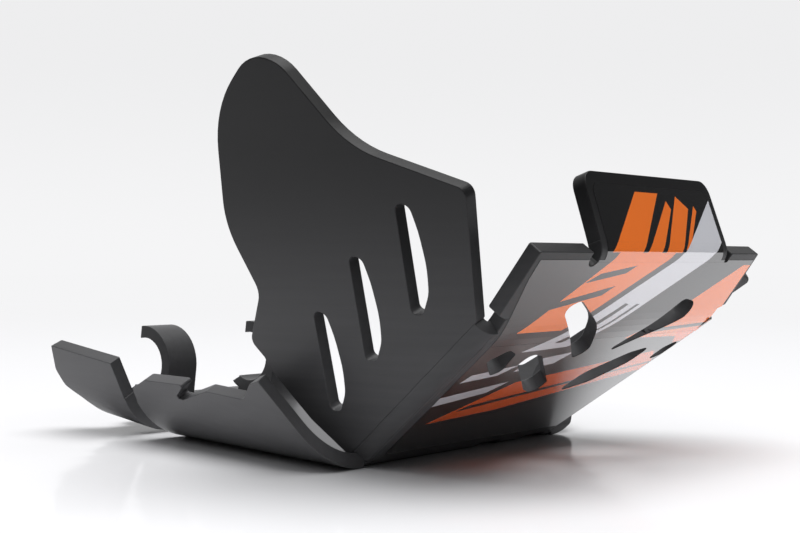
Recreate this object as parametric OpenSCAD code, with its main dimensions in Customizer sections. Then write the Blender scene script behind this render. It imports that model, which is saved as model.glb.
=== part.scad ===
// Motorcycle skid plate, cut from one flat sheet and bent hot into shape.
// Millimetres, +Z up. The bike's front is -Y, its right side -X.
// The origin is the middle of the flat underside. The panels below are laid out from the front fold,
// where the floor meets the front panel, and the finished plate is moved forward by half the floor.

/* [Sheet] */
// Thickness of the sheet everywhere
sheet_t = 8; // [5:0.5:12]
// Outside radius of the tight folds
fold_r = 10; // [8.5:0.5:16]
// Outside radius of the wide bends along the two sides of the floor
side_r = 45; // [20:1:70]

/* [Floor] */
// Half width of the front fold on the right (clutch) side
fold_right = 100; // [70:1:130]
// Half width of the front fold on the left side
fold_left = 83; // [60:1:120]
// Half width of the floor's flat part at the kick-up, both sides
floor_rear = 64; // [50:1:80]
// Distance from the front fold to the kick-up
kick_y = 190; // [150:1:240]
// Angle by which the tail rises
kick_angle = 8; // [0:0.5:15]
// Length of the tail behind the kick-up
tail_len = 71; // [60:1:120]

/* [Front panel] */
// Slope of the lower panel above the ground
low_angle = 36; // [25:0.5:50]
// Length of the lower panel up its slope
low_len = 128; // [90:1:160]
// How much the lower panel widens on each side from bottom to top
low_flare = 25.5; // [0:0.5:40]
// Slope of the upper panel
up_angle = 53.5; // [40:0.5:70]
// Length of the upper panel up its slope
up_len = 50; // [30:1:80]
// How much the upper panel narrows on each side
up_taper = 2.3; // [0:0.1:10]
// Outside radius of the gentle bend between the two
soft_r = 60; // [20:1:120]

/* [Top tab] */
// Half width of the tab at its root
tab_root = 67.8; // [40:0.1:90]
// Half width of the tab at its top
tab_top = 66.2; // [40:0.1:90]
// Height of the tab up its own face
tab_h = 44; // [20:1:70]
// How far the tab leans back from upright
tab_lean = 18.5; // [0:0.5:35]
// Corner radius of the tab
tab_corner = 9; // [2:0.5:20]
// Radius of the relief notches beside the tab
notch_r = 4.4; // [2:0.1:8]
// Radius of the relief notch on the left side
notch_left_r = 2; // [1:0.1:6]

/* [Right wing] */
// Angle of the right wing from upright, leaning out
wing_lean = 20.3; // [5:0.1:40]
// Length of each wing slot
slot_len = 56; // [30:1:80]
// Direction of the wing slots from the fold line
slot_angle = 47.5; // [30:0.5:70]

/* [Side flanges] */
// Lean of the side flanges from upright
flange_lean = 30; // [10:1:50]
// Height of the front nose of each flange
flange_nose_z = 48; // [30:1:70]
// Height of the rest of the flange
flange_z = 39; // [20:1:60]
// Height of the rear flap, square to the tail
flap_z = 47; // [30:1:70]
// Length of the rear flap
flap_len = 77; // [50:1:90]

/* [Rear hooks] */
// Inside radius of the hooks, for the frame's cross tube
hook_r = 17.5; // [10:0.5:25]
// Width of each hook
hook_w = 24; // [12:1:40]
// Distance of each hook from the centreline
hook_x = 48; // [25:1:60]
// Distance of the hooks' centre behind the kick-up
hook_back = 38.5; // [30:0.5:50]
// Height of the hooks' centre
hook_z = 42.5; // [30:0.5:60]

/* [Drain notches] */
// Length of each drain notch along the front fold
drain_w = 21; // [8:1:30]
// Depth of the drain notches up into the fold
drain_h = 3; // [1:0.5:5]

/* [Hidden] */
$fn = 96;
leg = 1.6;
lap = 0.7;
bend_step = 5;
drain_x = [15, 62];
skin = 0.04;

function unit(v) = v / norm(v);
function lin(a, b, k) = a + (b - a) * k;
// corner points with a radius each, turned into an outline with true tangent arcs
function turn(a, b, c) = acos(max(-1, min(1, unit(b - a) * unit(c - b))));
function arc_pts(a, b, c, r) =
  let (t = turn(a, b, c))
  (r <= 0 || t < 0.5) ? [b] :
  let (
    d = r * tan(t / 2),
    p = b + unit(a - b) * d,
    q = b + unit(c - b) * d,
    side = ((b - a)[0] * (c - b)[1] - (b - a)[1] * (c - b)[0]) > 0 ? 1 : -1,
    u = unit(b - a),
    ctr = p + side * r * [-u[1], u[0]],
    a0 = atan2(p[1] - ctr[1], p[0] - ctr[0]),
    n = max(2, ceil(t / (r > 25 ? 5 : r > 7 ? 10 : 15)))
  )
  [for (i = [0 : n]) ctr + r * [cos(a0 + side * t * i / n), sin(a0 + side * t * i / n)]];
function rounded(pts) =
  let (n = len(pts), xy = [for (p = pts) [p[0], p[1]]])
  [for (i = [0 : n - 1]) each arc_pts(xy[(i + n - 1) % n], xy[i], xy[(i + 1) % n], pts[i][2])];

// directions up each slope, and each panel's outward normal
low_dir = [0, -cos(low_angle), sin(low_angle)];
up_dir = [0, -cos(up_angle), sin(up_angle)];
tab_dir = [0, sin(tab_lean), cos(tab_lean)];
low_n = [0, -sin(low_angle), -cos(low_angle)];
up_n = [0, -sin(up_angle), -cos(up_angle)];
tab_n = [0, -cos(tab_lean), sin(tab_lean)];
down = [0, 0, -1];
knee = low_len * low_dir;
crown = knee + up_len * up_dir;

// right wing: its fold line and plane
right_p0 = [-fold_right, 0, 0];
right_p1 = knee + [-fold_right - low_flare, 0, 0];
right_d = unit(right_p1 - right_p0);
right_out = unit([-cos(wing_lean), 0, -sin(wing_lean)] - ([-cos(wing_lean), 0, -sin(wing_lean)] * right_d) * right_d);
right_up = cross(right_d, right_out) * (cross(right_d, right_out)[2] > 0 ? 1 : -1);
left_p0 = [fold_left, 0, 0];
left_d = [-right_d[0], right_d[1], right_d[2]];
left_out = [-right_out[0], right_out[1], right_out[2]];
left_up = [-right_up[0], right_up[1], right_up[2]];
fold_len = norm(right_p1 - right_p0);

function set_back(a, b, r) = r * tan(acos(a * b) / 2);
back_floor = set_back(down, low_n, fold_r);
back_knee = set_back(low_n, up_n, soft_r);
back_tab = set_back(up_n, tab_n, fold_r);
back_wing = set_back(low_n, right_out, fold_r);

// a flat panel: outline in the panel's own (u, v), its outer face on the plane, its thickness inward
module panel(origin, u, v, out) {
  n = -out;
  flip = cross(u, v) * n > 0 ? 1 : -1;
  multmatrix([
    [u[0], v[0], n[0], origin[0]],
    [u[1], v[1], n[1], origin[1]],
    [u[2], v[2], n[2], origin[2]],
    [0, 0, 0, 1]
  ])
    linear_extrude(height = sheet_t)
      children();
}

// a bend between two outward normals a and b, along d from the start of the outer fold line,
// with short flat legs buried in the panels on both sides; it is thinner than the sheet by a hair on each face
module bend(start, a, b, d, length, r) {
  ang = acos(a * b);
  k = unit(cross(a, b));
  y = cross(k, a);
  ctr = start - unit(a + b) * r / cos(ang / 2);
  n = ceil(ang / bend_step);
  outer = r - skin;
  inner = r - sheet_t + skin;
  e = [-sin(ang), cos(ang)] * leg;
  arc = [for (i = [0 : n]) [cos(ang * i / n), sin(ang * i / n)]];
  multmatrix([
    [a[0], y[0], k[0], ctr[0]],
    [a[1], y[1], k[1], ctr[1]],
    [a[2], y[2], k[2], ctr[2]],
    [0, 0, 0, 1]
  ])
    translate([0, 0, k * d > 0 ? 0 : -length])
      linear_extrude(height = length)
        polygon(concat(
          [[inner, -leg], [outer, -leg]],
          [for (p = arc) outer * p],
          [outer * arc[n] + e, inner * arc[n] + e],
          [for (i = [n : -1 : 0]) inner * arc[i]]
        ));
}

// half widths of the two front panels at a distance s up the slope
function low_right(s) = fold_right + low_flare * s / low_len;
function low_left(s) = fold_left + low_flare * s / low_len;

module low_panel() {
  inset = (back_wing + lap) / cos(atan(low_flare / low_len));
  s0 = back_floor + lap;
  s1 = low_len - back_knee - lap;
  panel([0, 0, 0], [1, 0, 0], low_dir, low_n)
    polygon([
      [-low_right(s0) + inset, s0],
      [low_left(s0) - inset, s0],
      [low_left(s1) - inset, s1],
      [-low_right(s1) + inset, s1]
    ]);
}

module knee_bend() {
  w0 = low_right(low_len) - back_wing - 0.5;
  w1 = low_left(low_len) - back_wing - 0.5;
  bend(knee + [-w0, 0, 0], low_n, up_n, [1, 0, 0], w0 + w1, soft_r);
}

module up_panel() {
  r0 = low_right(low_len);
  l0 = low_left(low_len);
  panel(knee, [1, 0, 0], up_dir, up_n)
    difference() {
      polygon(rounded([
        [-r0 + back_wing, back_knee + lap, 0],
        [l0 - back_wing, back_knee + lap, 0],
        [l0 - 0.4, back_knee + 3, 1.5],
        [l0 - up_taper, up_len, 1.2],
        [tab_root + 2 * notch_left_r, up_len, 0.8],
        [tab_root + 2 * notch_left_r, up_len - back_tab - lap, 0],
        [-tab_root - 2 * notch_r, up_len - back_tab - lap, 0],
        [-tab_root - 2 * notch_r, up_len, 0.8],
        [-r0 + up_taper, up_len, 1.2],
        [-r0 + 0.4, back_knee + 3, 1.5]
      ]));
      translate([-tab_root - notch_r, up_len - back_tab + 1])
        circle(r = notch_r);
      translate([tab_root + notch_left_r, up_len - back_tab + 1])
        circle(r = notch_left_r);
    }
}

module tab() {
  bend(crown + [-tab_root, 0, 0], up_n, tab_n, [1, 0, 0], 2 * tab_root, fold_r);
  panel(crown, [1, 0, 0], tab_dir, tab_n)
    polygon(rounded([
      [-tab_root + 0.3, back_tab + lap, 0],
      [tab_root - 0.3, back_tab + lap, 0],
      [tab_top, tab_h, tab_corner],
      [-tab_top, tab_h, tab_corner]
    ]));
}

// one slot of the right wing: a straight side and a bulging side, widest below the middle
module wing_slot() {
  polygon(rounded([
    [-2, 0, 3],
    [-1.5, -7, 4],
    [0.18 * slot_len, -12.5, 18],
    [0.43 * slot_len, -13.8, 60],
    [0.75 * slot_len, -11.8, 60],
    [slot_len - 1.5, -8.5, 5],
    [slot_len, 0, 4]
  ]));
}

module right_wing() {
  bend(right_p0 + 4 * right_d, low_n, right_out, right_d, fold_len - 4, fold_r);
  panel(right_p0, right_d, right_up, right_out)
    difference() {
      polygon(rounded([
        [0, back_wing + lap, 0],
        [fold_len + 1.2, back_wing + lap, 0],
        [180, 54, 6],
        [143.6, 112.4, 60],
        [146, 184.5, 23],
        [91.9, 184.5, 64],
        [41.8, 143.3, 50],
        [28.5, 104.7, 12],
        [-2.3, 92.2, 6],
        [-2.2, 80, 2],
        [-4.9, 73, 3],
        [-5, 37, 20]
      ]));
      for (at = [[104.5, 35.7], [58.7, 37.5], [13.5, 34]])
        translate(at)
          rotate(slot_angle)
            wing_slot();
    }
}

module left_wing() {
  bend(left_p0 + 4 * left_d, low_n, left_out, left_d, fold_len - 4, fold_r);
  panel(left_p0, left_d, left_up, left_out)
    polygon(rounded([
      [0, back_wing + lap, 0],
      [fold_len, back_wing + lap, 0],
      [161.5, 8.4, 3],
      [161.5, 20, 8],
      [140, 42, 12],
      [20, 46, 20],
      [-4.5, 30, 10]
    ]));
}

// side flanges: s is 1 on the left side and -1 on the right, c is how far each turns in toward the rear
flange_y0 = 6;
flange_y1 = kick_y - 19;
// how far the flange's blank runs ahead of flange_y0 before its front edge is cut
flange_lead = 13;
function taper(front) = atan((front - floor_rear) / (kick_y - flange_y0));
right_front = fold_right - 1;
left_front = fold_left - 1;
bend_turn = 90 - flange_lean;
base = side_r * tan(bend_turn / 2);
slope = cos(flange_lean);

module flange(s, front) {
  c = taper(front);
  d = [-s * sin(c), cos(c), 0];
  out_flat = [s * cos(c), sin(c), 0];
  out = [out_flat[0] * slope, out_flat[1] * slope, -sin(flange_lean)];
  up = [out_flat[0] * sin(flange_lean), out_flat[1] * sin(flange_lean), slope];
  length = (flange_y1 - flange_y0) / cos(c);
  corner = [s * front, flange_y0, 0] + out_flat * base;
  difference() {
    union() {
      bend(corner - flange_lead * d, down, out, d, length + flange_lead, side_r);
      panel(corner, d, up, out)
        polygon(rounded([
          [0.5 - flange_lead, base + lap, 0],
          [length - 0.5, base + lap, 0],
          [length - 4, 33 / slope, 3],
          [length - 25, (flange_z + 0.5) / slope, 8],
          [95, (flange_z + 1) / slope, 1.5],
          [113, (flange_z - 8) / slope, 1.2],
          [105, (flange_z - 8.6) / slope, 4],
          [73, (flange_z - 1) / slope, 6],
          [35.5, (flange_z - 2.8) / slope, 8],
          [21, (flange_nose_z - 2) / slope, 6],
          [12, flange_nose_z / slope, 4],
          [0.5 - flange_lead, flange_nose_z / slope, 0]
        ]));
    }
    // the slanted front edge
    across(s)
      polygon([[-3, -6], [-3, 5.5], [34.4, 60], [-40, 60], [-40, -6]]);
  }
}

// a prism along x over one side, from an outline in (y, z)
module across(s)
  multmatrix([
    [0, 0, s, 0],
    [1, 0, 0, 0],
    [0, 1, 0, 0],
    [0, 0, 0, 1]
  ])
    translate([0, 0, 20])
      linear_extrude(height = 220)
        children();

// the flap at the right rear corner, in the tail's own frame
module rear_flap() {
  out = [-slope, 0, -sin(flange_lean)];
  up = [-sin(flange_lean), 0, slope];
  corner = [-floor_rear - base, 0, 0];
  difference() {
    union() {
      bend(corner + [0, kick_back + 2, 0], down, out, [0, 1, 0], flap_len - kick_back - 3, side_r);
      panel(corner, [0, 1, 0], up, out)
        polygon([
          [kick_back + 2.5, base + lap],
          [flap_len + 1, base + lap],
          [flap_len + 1, flap_z / slope],
          [kick_back + 2.5, flap_z / slope]
        ]);
    }
    // its rear edge
    across(-1)
      polygon(rounded([
        [flap_len - 24, -6, 0],
        [flap_len - 21, 8, 4],
        [flap_len - 15.6, 13.1, 6],
        [flap_len - 3.6, 19, 5],
        [flap_len, 29.6, 5],
        [flap_len - 11.7, flap_z + 12.6, 0],
        [flap_len + 30, flap_z + 12.6, 0],
        [flap_len + 30, -6, 0]
      ]));
  }
}

kick_r = 80;
tail_out = [0, sin(kick_angle), -cos(kick_angle)];
kick_back = set_back(down, tail_out, kick_r);

module floor_plate() {
  linear_extrude(height = sheet_t)
    polygon([
      [-fold_right + 1, back_floor + lap],
      [fold_left - 1, back_floor + lap],
      [left_front - lap, flange_y0],
      [floor_rear - lap, kick_y - kick_back - lap],
      [-floor_rear + lap, kick_y - kick_back - lap],
      [-right_front + lap, flange_y0]
    ]);
  bend([-fold_right + 1, 0, 0], down, low_n, [1, 0, 0], fold_right + fold_left - 2, fold_r);
  bend([-floor_rear + lap, kick_y, 0], down, tail_out, [1, 0, 0], 2 * (floor_rear - lap), kick_r);
}

module tail() {
  translate([0, kick_y, 0])
    rotate([kick_angle, 0, 0]) {
      linear_extrude(height = sheet_t)
        polygon(rounded([
          [-floor_rear + lap, kick_back + lap, 0],
          [floor_rear - lap, kick_back + lap, 0],
          [floor_rear - lap, tail_len, 14],
          [-floor_rear + 8, tail_len, 10],
          [-floor_rear + lap, flap_len - 25, 0]
        ]));
      rear_flap();
      for (s = [-1, 1])
        hook(s);
    }
}

// one hook: an arc of sheet open to the rear, on a foot that flows into the tail
module hook(s) {
  outer = hook_r + sheet_t;
  at_y = hook_back * cos(kick_angle) + hook_z * sin(kick_angle);
  at_z = hook_z * cos(kick_angle) - hook_back * sin(kick_angle);
  foot = sheet_t - at_z - 0.3;
  fillet = at_y - outer - kick_back - 1;
  hook_tip = 6.5;
  translate([s * hook_x - hook_w / 2, at_y, at_z])
    rotate([90, 0, 90])
      linear_extrude(height = hook_w)
        difference() {
          union() {
            circle(r = outer);
            translate([-outer, foot])
              square([outer, -foot]);
            translate([-outer - fillet, foot - 3])
              square([outer + fillet + 8, 3 + fillet]);
          }
          circle(r = hook_r);
          translate([-outer - fillet, foot + fillet])
            circle(r = fillet);
          polygon([
            [hook_tip, hook_r - 3],
            [hook_tip, outer + 1],
            [outer + 1, outer + 1],
            [outer + 1, -outer - 4],
            [8, -hook_r + 1],
            [8, 0],
            [hook_tip, 0]
          ]);
        }
}

// vents: outlines across the knee, square to the middle of its bend
module vents() {
  mid = (low_angle + up_angle) / 2;
  m_dir = [0, -cos(mid), sin(mid)];
  m_out = [0, -sin(mid), -cos(mid)];
  base = knee + m_out * 20;
  module through(origin, v, out, deep)
    multmatrix([
      [1, v[0], -out[0], origin[0]],
      [0, v[1], -out[1], origin[1]],
      [0, v[2], -out[2], origin[2]],
      [0, 0, 0, 1]
    ])
      linear_extrude(height = deep)
        children();
  through(base, m_dir, m_out, 44) {
    // right upper vent: a flat side and a bulging side
    polygon(rounded([
      [-72, 14, 4],
      [-60, 20, 7],
      [-28, 3, 45],
      [-6, -22, 6],
      [-14, -29, 4]
    ]));
    // left upper vent: a long drop
    polygon(rounded([
      [13.5, -30, 2.5],
      [25, -7, 45],
      [50, 18.5, 8],
      [69, 15, 7],
      [65, 4, 8],
      [36, -12, 60]
    ]));
  }
  through(low_n * 10, low_dir, low_n, 30) {
    polygon(rounded([
      [-64, 97, 4],
      [-62.5, 107.5, 5],
      [-50, 104.5, 10],
      [-8.5, 74, 5],
      [-9.5, 61.5, 5],
      [-25, 68, 12]
    ]));
    polygon(rounded([
      [17.5, 60, 4],
      [22, 80, 12],
      [48, 99, 20],
      [66, 104, 4],
      [63, 87, 14],
      [42, 67.5, 20]
    ]));
    polygon(rounded([
      [-98.5, 103.5, 3],
      [-89.5, 113.5, 4],
      [-79, 109, 5],
      [-73, 92.5, 3.5],
      [-79, 88.5, 3]
    ]));
    polygon(rounded([
      [83, 86.5, 3],
      [84.5, 101, 8],
      [95, 110, 4],
      [97.5, 94, 8]
    ]));
  }
}

// drain notches across the underside of the front fold
module drains() {
  for (x = drain_x)
    translate([x - drain_w / 2, -14, -1])
      cube([drain_w, 20, 1 + drain_h]);
}

module skid_plate() {
  color([0.09, 0.09, 0.1])
    translate([0, -kick_y / 2, 0])
      difference() {
        union() {
          floor_plate();
          low_panel();
          knee_bend();
          up_panel();
          tab();
          right_wing();
          left_wing();
          flange(-1, right_front);
          flange(1, left_front);
          tail();
        }
        vents();
        drains();
      }
}

skid_plate();
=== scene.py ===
# %% [markdown]
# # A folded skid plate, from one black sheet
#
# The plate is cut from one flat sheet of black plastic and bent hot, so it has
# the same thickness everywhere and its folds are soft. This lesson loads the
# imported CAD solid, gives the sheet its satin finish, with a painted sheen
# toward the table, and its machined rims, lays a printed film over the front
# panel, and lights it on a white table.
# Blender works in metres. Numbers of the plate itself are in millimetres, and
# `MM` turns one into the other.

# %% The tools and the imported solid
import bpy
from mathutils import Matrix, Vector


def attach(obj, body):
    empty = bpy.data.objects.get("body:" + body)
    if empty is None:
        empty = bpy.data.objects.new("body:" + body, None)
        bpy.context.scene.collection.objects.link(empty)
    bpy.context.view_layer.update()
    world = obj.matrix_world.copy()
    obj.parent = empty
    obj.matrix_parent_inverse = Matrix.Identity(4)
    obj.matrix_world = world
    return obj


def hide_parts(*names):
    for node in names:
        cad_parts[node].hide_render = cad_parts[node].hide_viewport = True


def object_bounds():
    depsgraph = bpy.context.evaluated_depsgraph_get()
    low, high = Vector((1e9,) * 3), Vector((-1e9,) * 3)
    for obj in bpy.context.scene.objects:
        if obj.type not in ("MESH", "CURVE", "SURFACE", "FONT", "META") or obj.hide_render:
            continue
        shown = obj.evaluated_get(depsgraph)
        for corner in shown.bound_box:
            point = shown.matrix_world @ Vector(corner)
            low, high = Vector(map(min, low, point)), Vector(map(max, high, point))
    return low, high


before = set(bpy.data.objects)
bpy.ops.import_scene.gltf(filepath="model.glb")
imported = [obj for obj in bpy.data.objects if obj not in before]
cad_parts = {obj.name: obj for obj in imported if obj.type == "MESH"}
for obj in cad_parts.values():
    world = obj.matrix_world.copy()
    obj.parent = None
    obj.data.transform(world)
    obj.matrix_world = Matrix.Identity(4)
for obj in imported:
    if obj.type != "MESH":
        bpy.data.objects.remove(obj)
cad_box = [list(v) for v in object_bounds()]

import math

import bmesh
import bpy
import numpy as np

MM = 0.001
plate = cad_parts["skid_plate"]
print("CAD solid:", len(plate.data.polygons), "triangles")

# %% [markdown]
# ## The folded profile
#
# Seen from the side, the front of the plate is a line that folds three times:
# at the floor, at the knee between the two panels, and at the tab. These are
# the same numbers as in the CAD source. A point of the profile is found by its
# distance `s` up the panel, measured on the outer face.

# %% The three flat strips of the front
FOLD_Y = -95.0          # the front fold, forward of the origin
LOW_ANGLE, LOW_LEN = 36.0, 128.0
UP_ANGLE, UP_LEN = 53.5, 50.0
TAB_LEAN, TAB_H = 18.5, 44.0
TAB_S = LOW_LEN + UP_LEN


def slope(angle):
    """Unit step up a slope that rises forward, in the (y, z) plane: minus the
    cosine along y, the sine along z."""
    a = math.radians(angle)
    return np.array([-math.cos(a), math.sin(a)])


LOW_DIR, UP_DIR = slope(LOW_ANGLE), slope(UP_ANGLE)
TAB_DIR = slope(90.0 + TAB_LEAN)
FOOT = np.array([FOLD_Y, 0.0])
KNEE = FOOT + LOW_LEN * LOW_DIR
CROWN = KNEE + UP_LEN * UP_DIR
# each strip: where it starts, its way up, and s at its two ends
STRIPS = [
    (FOOT, LOW_DIR, 0.0, LOW_LEN),
    (KNEE, UP_DIR, LOW_LEN, TAB_S),
    (CROWN, TAB_DIR, TAB_S, TAB_S + TAB_H),
]
print("the tab's top is", round((CROWN + TAB_H * TAB_DIR)[1], 1), "mm high")

# %% Distance up the panel, and distance from it


def along_profile(yz):
    """For points (y, z): the distance s up the folded panel and the distance
    from its outer face. Each point is dropped onto all three strips, and the
    nearest foot counts."""
    best_s = np.zeros(len(yz))
    best_gap = np.full(len(yz), np.inf)
    for start, step, s0, s1 in STRIPS:
        rel = yz - start
        t = np.clip(rel @ step, 0.0, s1 - s0)
        gap = np.linalg.norm(rel - t[:, None] * step, axis=1)
        closer = gap < best_gap
        best_s = np.where(closer, s0 + t, best_s)
        best_gap = np.where(closer, gap, best_gap)
    return best_s, best_gap


def read_points(mesh):
    """All vertices of a mesh as one array, a row for each."""
    co = np.empty(len(mesh.vertices) * 3)
    mesh.vertices.foreach_get("co", co)
    return co.reshape(-1, 3)


def show(name, mesh):
    """Puts a mesh into the scene, unturned and at the origin."""
    obj = bpy.data.objects.new(name, mesh)
    bpy.context.scene.collection.objects.link(obj)
    return obj


# %% [markdown]
# ## The machined edges
#
# The sheet's outline, its slots and its vents are cut by a router, which takes
# a hair off every sharp edge. A bevelled copy of the CAD solid stands in for
# the solid. Its triangles are first merged back into flat faces, so that the
# bevel runs along whole edges. Only convex edges sharper than `EDGE_ANGLE` are
# cut: the bends, which turn in small steps, stay smooth. A Bevel modifier
# would also cut the hair-thin steps between panels and bends, so the copy is
# welded and bevelled as a bmesh.

# %% Which faces are cut, and which belong to the sheet
EDGE_CUT = 0.5          # mm taken off a sharp edge
STEP = 0.06             # mm, the widest step that the weld closes
FLAT_TURN = 0.4         # degrees within which triangles count as one flat face
EDGE_ANGLE = 38.0       # degrees above which an edge is a cut one
SMOOTH_ANGLE = 50.0     # degrees up to which the shading runs over an edge
FLAT_WIDTH = 9.0        # mm, wider than the sheet is thick


def is_wide(face):
    """A face's mean width is its area over half its outline's length."""
    return face.calc_area() >= FLAT_WIDTH * MM * face.calc_perimeter() / 2


def is_hard(edge):
    """An edge at which the router's cut meets the sheet's skin."""
    return edge.calc_face_angle(0.0) > math.radians(EDGE_ANGLE)


def mark_cuts(bm):
    """Gives the second material to the cut faces: narrow ones that are either
    short, as the facets of a rounded cut, or bordered mostly by sharp edges,
    as a straight cut. A bend's steps are long and bordered by soft edges."""
    for face in bm.faces:
        if is_wide(face):
            continue
        longest = max(e.calc_length() for e in face.edges)
        hard = sum(e.calc_length() for e in face.edges if is_hard(e))
        if longest < FLAT_WIDTH * MM or hard > 0.5 * face.calc_perimeter():
            face.material_index = 1


# %% A bevelled copy of the solid


def merge_flats(bm):
    """Joins triangles that lie in one plane into one face."""
    bmesh.ops.dissolve_limit(bm, angle_limit=math.radians(FLAT_TURN), verts=bm.verts, edges=bm.edges)


def round_edges(bm):
    """Bevels the sharp convex edges in two steps and sets the shading: smooth
    everywhere, with a break at the edges that are still sharp."""
    sharp = [e for e in bm.edges if len(e.link_faces) == 2 and is_hard(e) and e.is_convex]
    bmesh.ops.bevel(bm, geom=sharp, offset=EDGE_CUT * MM, offset_type="OFFSET", segments=2,
                    profile=0.5, affect="EDGES", clamp_overlap=False, material=1)
    for face in bm.faces:
        face.smooth = True
    for edge in bm.edges:
        soft = edge.calc_face_angle(0.0) < math.radians(SMOOTH_ANGLE)
        edge.smooth = len(edge.link_faces) == 2 and soft


def machined(obj, name):
    """A copy of a CAD object with its cut edges rounded. The imported normals
    are dropped, because they describe the unbevelled mesh, and the points stay
    inside the CAD box."""
    mesh = bpy.data.meshes.new(name)
    bm = bmesh.new()
    bm.from_mesh(obj.data)
    bmesh.ops.remove_doubles(bm, verts=bm.verts, dist=STEP * MM)
    bmesh.ops.dissolve_degenerate(bm, dist=1e-6, edges=bm.edges)
    merge_flats(bm)
    mark_cuts(bm)
    round_edges(bm)
    bmesh.ops.triangulate(bm, faces=bm.faces)
    bm.to_mesh(mesh)
    bm.free()
    mesh.attributes.remove(mesh.attributes["custom_normal"])
    mesh.vertices.foreach_set("co", np.clip(read_points(mesh), *cad_box).ravel())
    return show(name, mesh)


# %% The skin takes the solid's place
skin = machined(plate, "plate_skin")
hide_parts("skid_plate")
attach(skin, "root")
# large faces decide the normals, so panels stay flat up to their bends
weigh = skin.modifiers.new("weigh", "WEIGHTED_NORMAL")
weigh.mode, weigh.weight, weigh.keep_sharp = "FACE_AREA", 100, True
print("plate_skin:", len(skin.data.polygons), "triangles")

# %% [markdown]
# ## The printed film
#
# The real plate carries a glossy printed film on the front panel and the tab.
# It is cut here from the panel's own outer faces, so every vent in the sheet
# is also a hole in the film. A face belongs to it when it lies on the profile
# and looks forward. The copy is lifted by the film's thickness, trimmed along
# straight borders, and given a UV map in metres: U across, V up the panel.

# %% Picking the faces the film lies on
FILM_T = 0.15           # mm of film
NEAR_FACE = 1.2         # mm, as far as a bend's facets leave the sharp profile


def outer_faces(obj):
    """Vertices in millimetres and triangles of the faces that lie on the front
    panel's outer side, with each face's normal: the cross product of two of
    its sides."""
    mesh = obj.data
    mesh.calc_loop_triangles()
    co = read_points(mesh) / MM
    tri = np.empty(len(mesh.loop_triangles) * 3, dtype=np.int64)
    mesh.loop_triangles.foreach_get("vertices", tri)
    tri = tri.reshape(-1, 3)
    a, b, c = co[tri[:, 0]], co[tri[:, 1]], co[tri[:, 2]]
    normal = np.cross(b - a, c - a)
    area = np.linalg.norm(normal, axis=1)
    normal = normal / np.maximum(area, 1e-12)[:, None]
    _, gap = along_profile(co[:, 1:])
    on_face = (gap[tri] < NEAR_FACE).all(axis=1)
    forward = (np.abs(normal[:, 0]) < 0.02) & (normal[:, 1] < -0.5)
    keep = on_face & forward & (area > 1e-6)
    return co, tri[keep], normal[keep]


def lifted(co, tri, normal):
    """The used points moved out by the film's thickness, along the sum of the
    normals of the faces around them, and the triangles renumbered to them."""
    used, inverse = np.unique(tri, return_inverse=True)
    tri = inverse.reshape(-1, 3)
    out = np.zeros((len(used), 3))
    for corner in tri.T:
        np.add.at(out, corner, normal)
    out /= np.maximum(np.linalg.norm(out, axis=1), 1e-9)[:, None]
    return (co[used] + FILM_T * out) * MM, tri


# %% Trimming a film with straight cuts


def cut(bm, point, normal, clear):
    """Splits a bmesh along a plane. With clear, the side the normal looks to
    is dropped."""
    bmesh.ops.bisect_plane(
        bm, geom=bm.verts[:] + bm.edges[:] + bm.faces[:], dist=1e-7,
        plane_co=[c * MM for c in point], plane_no=normal, clear_outer=clear)


def trim(bm, x, s, dx, ds):
    """Trims along a line through (x, s) whose inward way is (dx, ds), on the
    slope of the strip that holds s."""
    start, step, s0, _ = next(r for r in STRIPS if s <= r[3] or r is STRIPS[2])
    y, z = start + (s - s0) * step
    cut(bm, (x, y, z), (-dx, -ds * step[0], -ds * step[1]), True)


def shape_film(mesh, borders):
    """Cuts the film across the folds, so that no face spans two strips, trims
    it, and shades its wide strips flat and the bends' narrow steps smooth."""
    bm = bmesh.new()
    bm.from_mesh(mesh)
    bmesh.ops.remove_doubles(bm, verts=bm.verts, dist=1e-6)
    for start, step, s0, s1 in STRIPS[:2]:
        y, z = start + (s1 - s0) * step
        cut(bm, (0, y, z), (0, step[0], step[1]), False)
    for border in borders:
        trim(bm, *border)
    merge_flats(bm)
    for face in bm.faces:
        face.smooth = not is_wide(face)
    bmesh.ops.triangulate(bm, faces=bm.faces)
    bm.to_mesh(mesh)
    bm.free()


# %% The gloss breaks at the tab's fold
CREASE = 7.0            # mm to each side of the fold


def crease(mesh, s):
    """Turns the normals over the tight bend at the tab to the nearer of its
    two panels, so that the gloss breaks along one line there. `s` is each
    vertex's distance up the panel."""
    above = np.array([0.0, -TAB_DIR[1], TAB_DIR[0]])
    below = np.array([0.0, -UP_DIR[1], UP_DIR[0]])
    normals = np.array([c.vector for c in mesh.corner_normals])
    for face in mesh.polygons:
        if abs(np.mean(s[list(face.vertices)]) - TAB_S) > CREASE:
            continue
        own = np.array(face.normal)
        side = above if own @ above > own @ below else below
        normals[face.loop_start:face.loop_start + face.loop_total] = side
    mesh.normals_split_custom_set(normals.tolist())


def film(name, borders):
    """One film piece with its UV map: U is x and V is s, both in metres. A
    border is (x, s, dx, ds): a point on the line and its way inward."""
    points, tri = lifted(*outer_faces(plate))
    mesh = bpy.data.meshes.new(name)
    mesh.from_pydata(points.tolist(), [], tri.tolist())
    shape_film(mesh, borders)
    co = read_points(mesh)
    s, _ = along_profile(co[:, 1:] / MM)
    uv = np.column_stack([co[:, 0], s * MM])
    corner = np.empty(len(mesh.loops), dtype=np.int64)
    mesh.loops.foreach_get("vertex_index", corner)
    mesh.uv_layers.new(name="film").data.foreach_set("uv", uv[corner].ravel())
    crease(mesh, s)
    return show(name, mesh)


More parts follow.
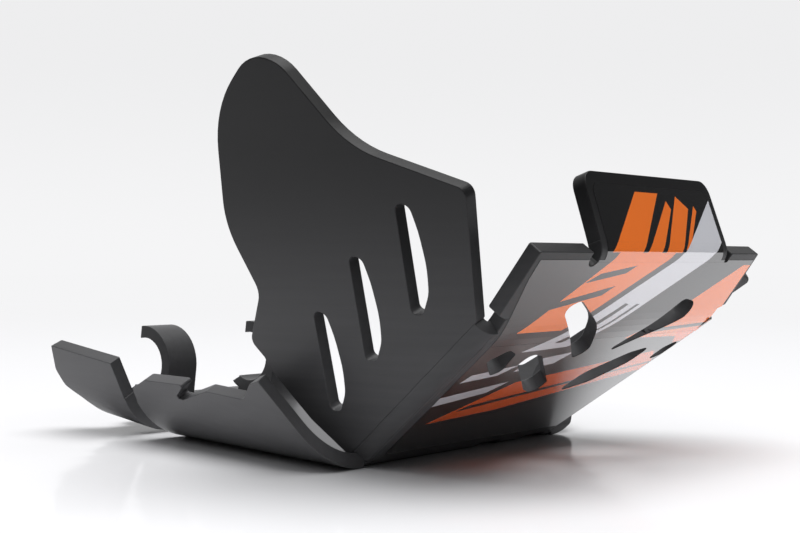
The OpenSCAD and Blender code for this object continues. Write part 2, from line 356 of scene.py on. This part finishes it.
# %% The two films and their borders
FLARE = 25.5 / 128      # how fast the panel's sides spread with s
FOLD_RIGHT, FOLD_LEFT = -100.0, 83.0        # the panel's ends at the floor
KNEE_RIGHT, KNEE_LEFT = -125.5, 108.5       # and above the knee
FILM_S = (12.0, 173.5, 215.5)               # the films' lower, middle and upper border
TAB_HALF, TAB_CORNER, TAB_TAPER = 62.5, 60.0, 0.07

panel_film = film("panel_film", [
    (FOLD_RIGHT + 12.5, 0, 1, FLARE), (FOLD_LEFT - 3.5, 0, -1, FLARE),
    (KNEE_RIGHT + 6, 130, 1, 0), (KNEE_LEFT - 4, 130, -1, 0),
    (0, FILM_S[0], 0, 1), (0, FILM_S[1], 0, -1),
])
tab_film = film("tab_film", [
    (-TAB_HALF, TAB_S, 1, -TAB_TAPER), (TAB_HALF, TAB_S, -1, -TAB_TAPER),
    (0, FILM_S[1], 0, 1), (0, FILM_S[2], 0, -1),
    (-TAB_CORNER, 213, 1, -1), (TAB_CORNER, 213, -1, -1),
])
for piece in (panel_film, tab_film):
    print(piece.name + ":", len(piece.data.polygons), "triangles")

# %% [markdown]
# ## Materials
#
# A material is a small graph of nodes around one Principled shader. Colours
# are written as hex sRGB, as a paint shop would name them, and one function
# turns them to the linear light that Blender mixes. One other function adds a
# node. Numbers that are the same all over a surface are set on the shader.

# %% Colour, material and node helpers


def linear(hex_code):
    """Hex sRGB to linear RGBA: undoes the sRGB curve channel by channel."""
    rgb = [int(hex_code[i:i + 2], 16) / 255 for i in (1, 3, 5)]
    return [c / 12.92 if c <= 0.04045 else ((c + 0.055) / 1.055) ** 2.4 for c in rgb] + [1.0]


def material(name):
    """A new node material, with its node tree and its Principled shader."""
    mat = bpy.data.materials.new(name)
    mat.use_nodes = True
    return mat, mat.node_tree, mat.node_tree.nodes["Principled BSDF"]


def add(tree, kind, inputs=None, **settings):
    """Adds a node, sets its settings, and links or sets its inputs."""
    node = tree.nodes.new(kind)
    for key, value in settings.items():
        setattr(node, key, value)
    for key, value in (inputs or {}).items():
        if isinstance(value, bpy.types.NodeSocket):
            tree.links.new(value, node.inputs[key])
        else:
            node.inputs[key].default_value = value
    return node


# %% [markdown]
# ## The sheet's finish
#
# Extruded black polyethylene is satin, with a very fine pebble from the
# rollers. The plate reads paler toward the table than at the wing's top, so
# the black is mixed with a grey that fades out upward, in faint streaks that
# run along the plate: a painted sheen, standing in for the bright table that
# the lower parts mirror. Its gloss is weaker than that of a hard plastic. The
# pebble is really about a third of a millimetre, and is drawn coarser so that
# it shows.

# %% Satin sheet
PEBBLES, CLOUDS = 0.9, 0.014            # grains per mm
STREAKS = (0.26, 0.009, 0.26)           # per mm along x, y and z
# the painted sheen: a grey standing in for the mirrored table, fading out upward
PAINTED_SHEEN_SPAN = (0.17, 0.01)                # heights in metres: no grey above, most below


def satin_sheet_with_painted_sheen():
    """Black extruded polyethylene, satin, with a fine pebble, and a painted
    sheen: a grey whose share is a streak noise times a smooth step of the
    height."""
    mat, tree, shader = material("hdpe_sheet_black_satin_painted_sheen")
    place = add(tree, "ShaderNodeTexCoord").outputs["Object"]
    pebble = add(tree, "ShaderNodeTexNoise", {"Vector": place, "Scale": PEBBLES / MM, "Detail": 3.0})
    cloud = add(tree, "ShaderNodeTexNoise", {"Vector": place, "Scale": CLOUDS / MM, "Detail": 4.0})
    drawn = add(tree, "ShaderNodeMapping", {"Vector": place, "Scale": tuple(n / MM for n in STREAKS)})
    streak = add(tree, "ShaderNodeTexNoise", {
        "Vector": drawn.outputs["Vector"], "Scale": 1.0, "Detail": 3.0})
    faint = add(tree, "ShaderNodeMapRange", {
        "Value": streak.outputs["Fac"], "To Min": 0.42, "To Max": 0.62})
    split = add(tree, "ShaderNodeSeparateXYZ", {"Vector": place})
    low = add(tree, "ShaderNodeMapRange", {
        "Value": split.outputs["Z"], "From Min": PAINTED_SHEEN_SPAN[0], "From Max": PAINTED_SHEEN_SPAN[1],
    }, interpolation_type="SMOOTHSTEP")
    # the painted sheen's share: faint streaks times the step of the height
    pale = add(tree, "ShaderNodeMath", {
        0: faint.outputs["Result"], 1: low.outputs["Result"]}, operation="MULTIPLY")
    black = add(tree, "ShaderNodeMix", {
        0: cloud.outputs["Fac"], 6: linear("#0e0e0f"), 7: linear("#161617")}, data_type="RGBA")
    # the grey #727274 is painted sheen, not a colour of the sheet
    sheet = add(tree, "ShaderNodeMix", {
        0: pale.outputs[0], 6: black.outputs[2], 7: linear("#727274")}, data_type="RGBA")
    rough = add(tree, "ShaderNodeMapRange", {
        "Value": streak.outputs["Fac"], "To Min": 0.39, "To Max": 0.45})
    bump = add(tree, "ShaderNodeBump", {
        "Height": pebble.outputs["Fac"], "Strength": 0.12, "Distance": 0.2 * MM})
    tree.links.new(sheet.outputs[2], shader.inputs["Base Color"])
    tree.links.new(rough.outputs["Result"], shader.inputs["Roughness"])
    tree.links.new(bump.outputs["Normal"], shader.inputs["Normal"])
    shader.inputs["Specular IOR Level"].default_value = 0.26
    return mat


# %% Routed edge
TOOL_MARKS = 0.7        # per mm, twice as coarse as real ones


def routed_edge():
    """The same plastic where the router cut it: paler, with fine tool marks
    that the cutter leaves in the wall."""
    mat, tree, shader = material("hdpe_edge_routed")
    place = add(tree, "ShaderNodeTexCoord").outputs["Object"]
    mark = add(tree, "ShaderNodeTexNoise", {"Vector": place, "Scale": TOOL_MARKS / MM, "Detail": 2.0})
    wall = add(tree, "ShaderNodeMix", {
        0: mark.outputs["Fac"], 6: linear("#2a2a2b"), 7: linear("#48484a")}, data_type="RGBA")
    bump = add(tree, "ShaderNodeBump", {
        "Height": mark.outputs["Fac"], "Strength": 0.25, "Distance": 0.3 * MM})
    tree.links.new(wall.outputs[2], shader.inputs["Base Color"])
    tree.links.new(bump.outputs["Normal"], shader.inputs["Normal"])
    shader.inputs["Roughness"].default_value = 0.42
    shader.inputs["Specular IOR Level"].default_value = 0.5
    return mat


# %% [markdown]
# ## The print
#
# The film is vinyl, printed in orange and pale grey on black and covered with
# a clear gloss, so the shader gets a full coat. The print is drawn by its
# corners: each shape is a convex outline on the unrolled panel, and the
# shapes are laid over each other in order. Drawn in this way, it stays sharp
# at any distance, which a painted image wouldn't.

# %% The shapes of the print
ORANGE, DEEP, PALE, GROUND = "#ff7c20", "#ff6a1e", "#dfe0e6", "#060608"
# colour and corners (x, s) in millimetres, anticlockwise
PRINT = [
    # upper panel: a wide slanted field with two slits
    (ORANGE, [(-100, 128), (-60, 128), (8, 178), (-50, 178)]),
    (GROUND, [(-94, 141), (-44, 151), (-36, 157), (-84, 147)]),
    (GROUND, [(-68, 159), (-34, 165), (-27, 170), (-58, 165)]),
    # tab: four bars of falling width
    (ORANGE, [(-58, 178), (-28, 178), (4, 212), (-20, 212)]),
    (ORANGE, [(-23, 178), (-8, 178), (14, 203), (11, 208)]),
    (ORANGE, [(-3, 178), (14, 178), (34, 204), (23, 211)]),
    (ORANGE, [(19, 180), (23, 180), (43, 203), (41, 206)]),
    # the pale band from the lower panel to the tab's corner
    (PALE, [(-76, 110), (-36, 112), (64, 186), (64, 212)]),
    (GROUND, [(-54, 117), (-47, 117), (-10, 144), (-14, 145)]),
    (GROUND, [(-34, 120), (-31, 120), (2, 144), (-2, 144)]),
    # left field
    (ORANGE, [(18, 116), (114, 112), (114, 170), (96, 170)]),
    (GROUND, [(40, 120), (114, 124), (114, 127), (48, 124)]),
    # lower panel: two long shards and three pale ones
    (DEEP, [(-86, 42), (-30, 48), (100, 78), (78, 98), (-44, 78)]),
    (GROUND, [(-70, 52), (96, 84), (94, 86), (-64, 57)]),
    (DEEP, [(-56, 82), (88, 106), (104, 90), (104, 124), (-10, 106)]),
    (PALE, [(-106, 60), (-62, 70), (-52, 80), (-102, 70)]),
    (PALE, [(-100, 84), (-72, 88), (-62, 97), (-97, 91)]),
    (PALE, [(-60, 90), (-28, 95), (-20, 106), (-56, 100)]),
]

# %% Printed film


def inside_outline(tree, u, v, corners):
    """1 inside a convex outline, 0 outside. A point is inside when it lies to
    the left of every side: there v times the side's cosine, less u times its
    sine, is more than at the side's first corner."""
    inside = None
    for (x, s), (x1, s1) in zip(corners, corners[1:] + corners[:1]):
        turn = math.atan2(s1 - s, x1 - x)
        rise = add(tree, "ShaderNodeMath", {0: v, 1: math.cos(turn) / MM}, operation="MULTIPLY")
        reach = add(tree, "ShaderNodeMath", {
            0: u, 1: -math.sin(turn) / MM, 2: rise.outputs[0]}, operation="MULTIPLY_ADD")
        left = add(tree, "ShaderNodeMath", {
            0: reach.outputs[0], 1: s * math.cos(turn) - x * math.sin(turn)}, operation="GREATER_THAN")
        if inside is None:
            inside = left.outputs[0]
        else:
            inside = add(tree, "ShaderNodeMath", {
                0: inside, 1: left.outputs[0]}, operation="MULTIPLY").outputs[0]
    return inside


def printed_film():
    """A glossy printed film: each shape's colour is mixed over the last by the
    mask of its outline, from the black ground up."""
    mat, tree, shader = material("vinyl_film_printed_gloss")
    uv = add(tree, "ShaderNodeUVMap", uv_map="film").outputs["UV"]
    split = add(tree, "ShaderNodeSeparateXYZ", {"Vector": uv})
    u, v = split.outputs["X"], split.outputs["Y"]
    colour = linear(GROUND)
    for code, corners in PRINT:
        colour = add(tree, "ShaderNodeMix", {
            0: inside_outline(tree, u, v, corners), 6: colour, 7: linear(code),
        }, data_type="RGBA").outputs[2]
    tree.links.new(colour, shader.inputs["Base Color"])
    shader.inputs["Roughness"].default_value = 0.16
    shader.inputs["Specular IOR Level"].default_value = 0.5
    shader.inputs["Coat Weight"].default_value = 1.0
    shader.inputs["Coat Roughness"].default_value = 0.06
    return mat


# %% Dressing the pieces
sheet_mat = satin_sheet_with_painted_sheen()
edge_mat = routed_edge()
film_mat = printed_film()
for piece in (plate, skin):
    piece.data.materials.clear()
    piece.data.materials.append(sheet_mat)
skin.data.materials.append(edge_mat)
for piece in (panel_film, tab_film):
    piece.data.materials.append(film_mat)
    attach(piece, "root")
print("materials:", ", ".join(m.name for m in (sheet_mat, edge_mat, film_mat)))

# %% [markdown]
# ## The table
#
# The table is a wide white sheet with a thin gloss, so the plate stands on a
# soft copy of itself. The gloss shows only at a grazing look, which Fresnel
# gives, and is strongest near the plate. Far behind the plate the paint fades
# into a glowing white, which hides the horizon. Places are given by how far
# they lie across the picture, along the look, and up.

# %% The camera's own directions
LOOK_ANGLE = 50.0       # degrees from +Y toward +X
LOOK = np.array([math.sin(math.radians(LOOK_ANGLE)), math.cos(math.radians(LOOK_ANGLE)), 0.0])
ACROSS = np.array([LOOK[1], -LOOK[0], 0.0])
UP = np.array([0.0, 0.0, 1.0])
PAPER = "#fbfbfc"

# %% Table top
TABLE_HALF = 9.0        # metres from the middle to a side


def table_gloss(tree, place):
    """The painted top: matt white, and over it a gloss whose share is Fresnel
    to the power 2.2 times a polish that falls with the distance from the
    plate. Slow waves in the gloss fade out in the same way."""
    wave = add(tree, "ShaderNodeTexNoise", {"Vector": place, "Scale": 14.0, "Detail": 2.0})
    reach = add(tree, "ShaderNodeVectorMath", {0: place}, operation="LENGTH").outputs["Value"]
    near = add(tree, "ShaderNodeMapRange", {
        "Value": reach, "From Min": 0.30, "From Max": 1.0, "To Min": 0.45, "To Max": 0.0})
    bump = add(tree, "ShaderNodeBump", {
        "Height": wave.outputs["Fac"], "Strength": near.outputs["Result"], "Distance": 2 * MM})
    paint = add(tree, "ShaderNodeBsdfDiffuse", {"Color": linear("#f3f3f5")})
    gloss = add(tree, "ShaderNodeBsdfGlossy", {"Roughness": 0.11, "Normal": bump.outputs["Normal"]})
    skim = add(tree, "ShaderNodeFresnel", {"IOR": 1.5})
    steep = add(tree, "ShaderNodeMath", {0: skim.outputs[0], 1: 2.2}, operation="POWER")
    polish = add(tree, "ShaderNodeMapRange", {
        "Value": reach, "From Min": 0.12, "From Max": 0.30, "To Min": 1.9, "To Max": 0.8})
    share = add(tree, "ShaderNodeMath", {
        0: steep.outputs[0], 1: polish.outputs["Result"]}, operation="MULTIPLY")
    return add(tree, "ShaderNodeMixShader", {
        0: share.outputs[0], 1: paint.outputs[0], 2: gloss.outputs[0]}).outputs[0]


def table_top():
    """A square white table, large enough to fill the frame, that turns into a
    bright wall by a smooth step of the distance along the look."""
    mat, tree, shader = material("table_painted_white")
    place = add(tree, "ShaderNodeTexCoord").outputs["Object"]
    ahead = add(tree, "ShaderNodeVectorMath", {0: place, 1: tuple(LOOK)}, operation="DOT_PRODUCT")
    far = add(tree, "ShaderNodeMapRange", {
        "Value": ahead.outputs["Value"], "From Min": 0.3, "From Max": 2.6,
    }, interpolation_type="SMOOTHSTEP")
    wall = add(tree, "ShaderNodeEmission", {"Color": linear(PAPER), "Strength": 0.945})
    top = add(tree, "ShaderNodeMixShader", {
        0: far.outputs["Result"], 1: table_gloss(tree, place), 2: wall.outputs[0]})
    tree.links.new(top.outputs[0], tree.nodes["Material Output"].inputs["Surface"])
    tree.nodes.remove(shader)
    mesh = bpy.data.meshes.new("table_top")
    corners = [(-1, -1), (1, -1), (1, 1), (-1, 1)]
    mesh.from_pydata([(x * TABLE_HALF, y * TABLE_HALF, 0) for x, y in corners], [], [(0, 1, 2, 3)])
    mesh.materials.append(mat)
    show("table_top", mesh)


table_top()
print("table:", 2 * TABLE_HALF, "m square")

# %% [markdown]
# ## The light
#
# One wide soft lamp hangs overhead, a little to the right, so the shadows stay
# small and pale. The room gives the rest. It is bright where the camera looks
# and dim on the other sides, with a bright patch high on the left, so surfaces
# that mirror the room in front of the plate stay black. A camera sees white
# paper in every direction, which keeps the background plain from all sides.

# %% Overhead lamp


def overhead(name, way, strength, spread):
    """A sun lamp whose disc is spread degrees across. Its own way of shining
    is down, so it is tipped by the angle between down and the given way, and
    then turned to the way's bearing."""
    data = bpy.data.lights.new(name, "SUN")
    data.energy, data.angle = strength, math.radians(spread)
    obj = bpy.data.objects.new(name, data)
    tip = math.atan2(math.hypot(way[0], way[1]), -way[2])
    obj.rotation_euler = (tip, 0, math.atan2(-way[0], way[1]))
    bpy.context.scene.collection.objects.link(obj)


overhead("tent_top", -0.08 * ACROSS - 0.02 * LOOK - UP, 2.72, 58)

# %% The room
PAPER_LEVEL = 0.885     # how bright the white paper is
ROOM_LEVEL = 0.085      # the dim sides
PATCH_LEVEL = 0.74      # what the patch adds to them


def facing(tree, way, direction, start, end, low=0.0, high=1.0):
    """A smooth step from low to high, as the cosine between the way and a
    direction goes from start to end."""
    dot = add(tree, "ShaderNodeVectorMath", {0: way, 1: tuple(direction)}, operation="DOT_PRODUCT")
    return add(tree, "ShaderNodeMapRange", {
        "Value": dot.outputs["Value"], "From Min": start, "From Max": end, "To Min": low, "To Max": high,
    }, interpolation_type="SMOOTHSTEP").outputs["Result"]


def studio_world():
    """Light by direction: the room's level mixed with the paper's by how far
    ahead the way points, and all paper for a camera ray. The lowest ways are
    7 percent brighter, to meet the table's far end."""
    world = bpy.data.worlds.new("studio_room")
    bpy.context.scene.world = world
    world.use_nodes = True
    tree = world.node_tree
    back = tree.nodes["Background"]
    way = add(tree, "ShaderNodeTexCoord").outputs["Generated"]
    left = facing(tree, way, ACROSS, 0.6, -0.6)
    high = facing(tree, way, UP, 0.40, 0.78)
    patch = add(tree, "ShaderNodeMath", {0: left, 1: high}, operation="MULTIPLY")
    room = add(tree, "ShaderNodeMath", {
        0: patch.outputs[0], 1: PATCH_LEVEL, 2: ROOM_LEVEL}, operation="MULTIPLY_ADD")
    ahead = facing(tree, way, LOOK, 0.55, 0.93)
    seen = add(tree, "ShaderNodeLightPath").outputs["Is Camera Ray"]
    paper = add(tree, "ShaderNodeMath", {0: ahead, 1: seen}, operation="MAXIMUM")
    level = add(tree, "ShaderNodeMix", {
        "Factor": paper.outputs[0], "A": room.outputs[0], "B": PAPER_LEVEL}, data_type="FLOAT")
    horizon = facing(tree, way, UP, 0.0, 0.16, 1.07, 1.0)
    lit = add(tree, "ShaderNodeMath", {0: level.outputs["Result"], 1: horizon}, operation="MULTIPLY")
    tree.links.new(lit.outputs[0], back.inputs["Strength"])
    back.inputs["Color"].default_value = linear(PAPER)


studio_world()

# %% [markdown]
# ## Camera
#
# The camera stands low at the right front corner and looks level, so upright
# edges stay upright in the picture. The small shift lifts what it sees by a
# few pixels without tipping the camera.

# %% The camera
EYE = (-0.6399, -0.5769, 0.1111)
camera = bpy.data.objects.new("camera", bpy.data.cameras.new("camera"))
camera.location = EYE
camera.rotation_euler = (math.radians(90), 0, math.radians(-LOOK_ANGLE))
camera.data.lens = 60.445
camera.data.sensor_width = 36.0
camera.data.shift_y = -0.0064
camera.data.clip_start = 0.01
bpy.context.scene.collection.objects.link(camera)
bpy.context.scene.camera = camera
bpy.context.scene.view_settings.view_transform = "Standard"
print("camera", round(math.dist(EYE, (0, 0, 0)), 2), "m from the origin")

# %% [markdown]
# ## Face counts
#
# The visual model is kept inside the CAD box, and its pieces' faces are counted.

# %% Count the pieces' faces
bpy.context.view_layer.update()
for piece in (skin, panel_film, tab_film):
    print(piece.name, len(piece.data.polygons), "faces")
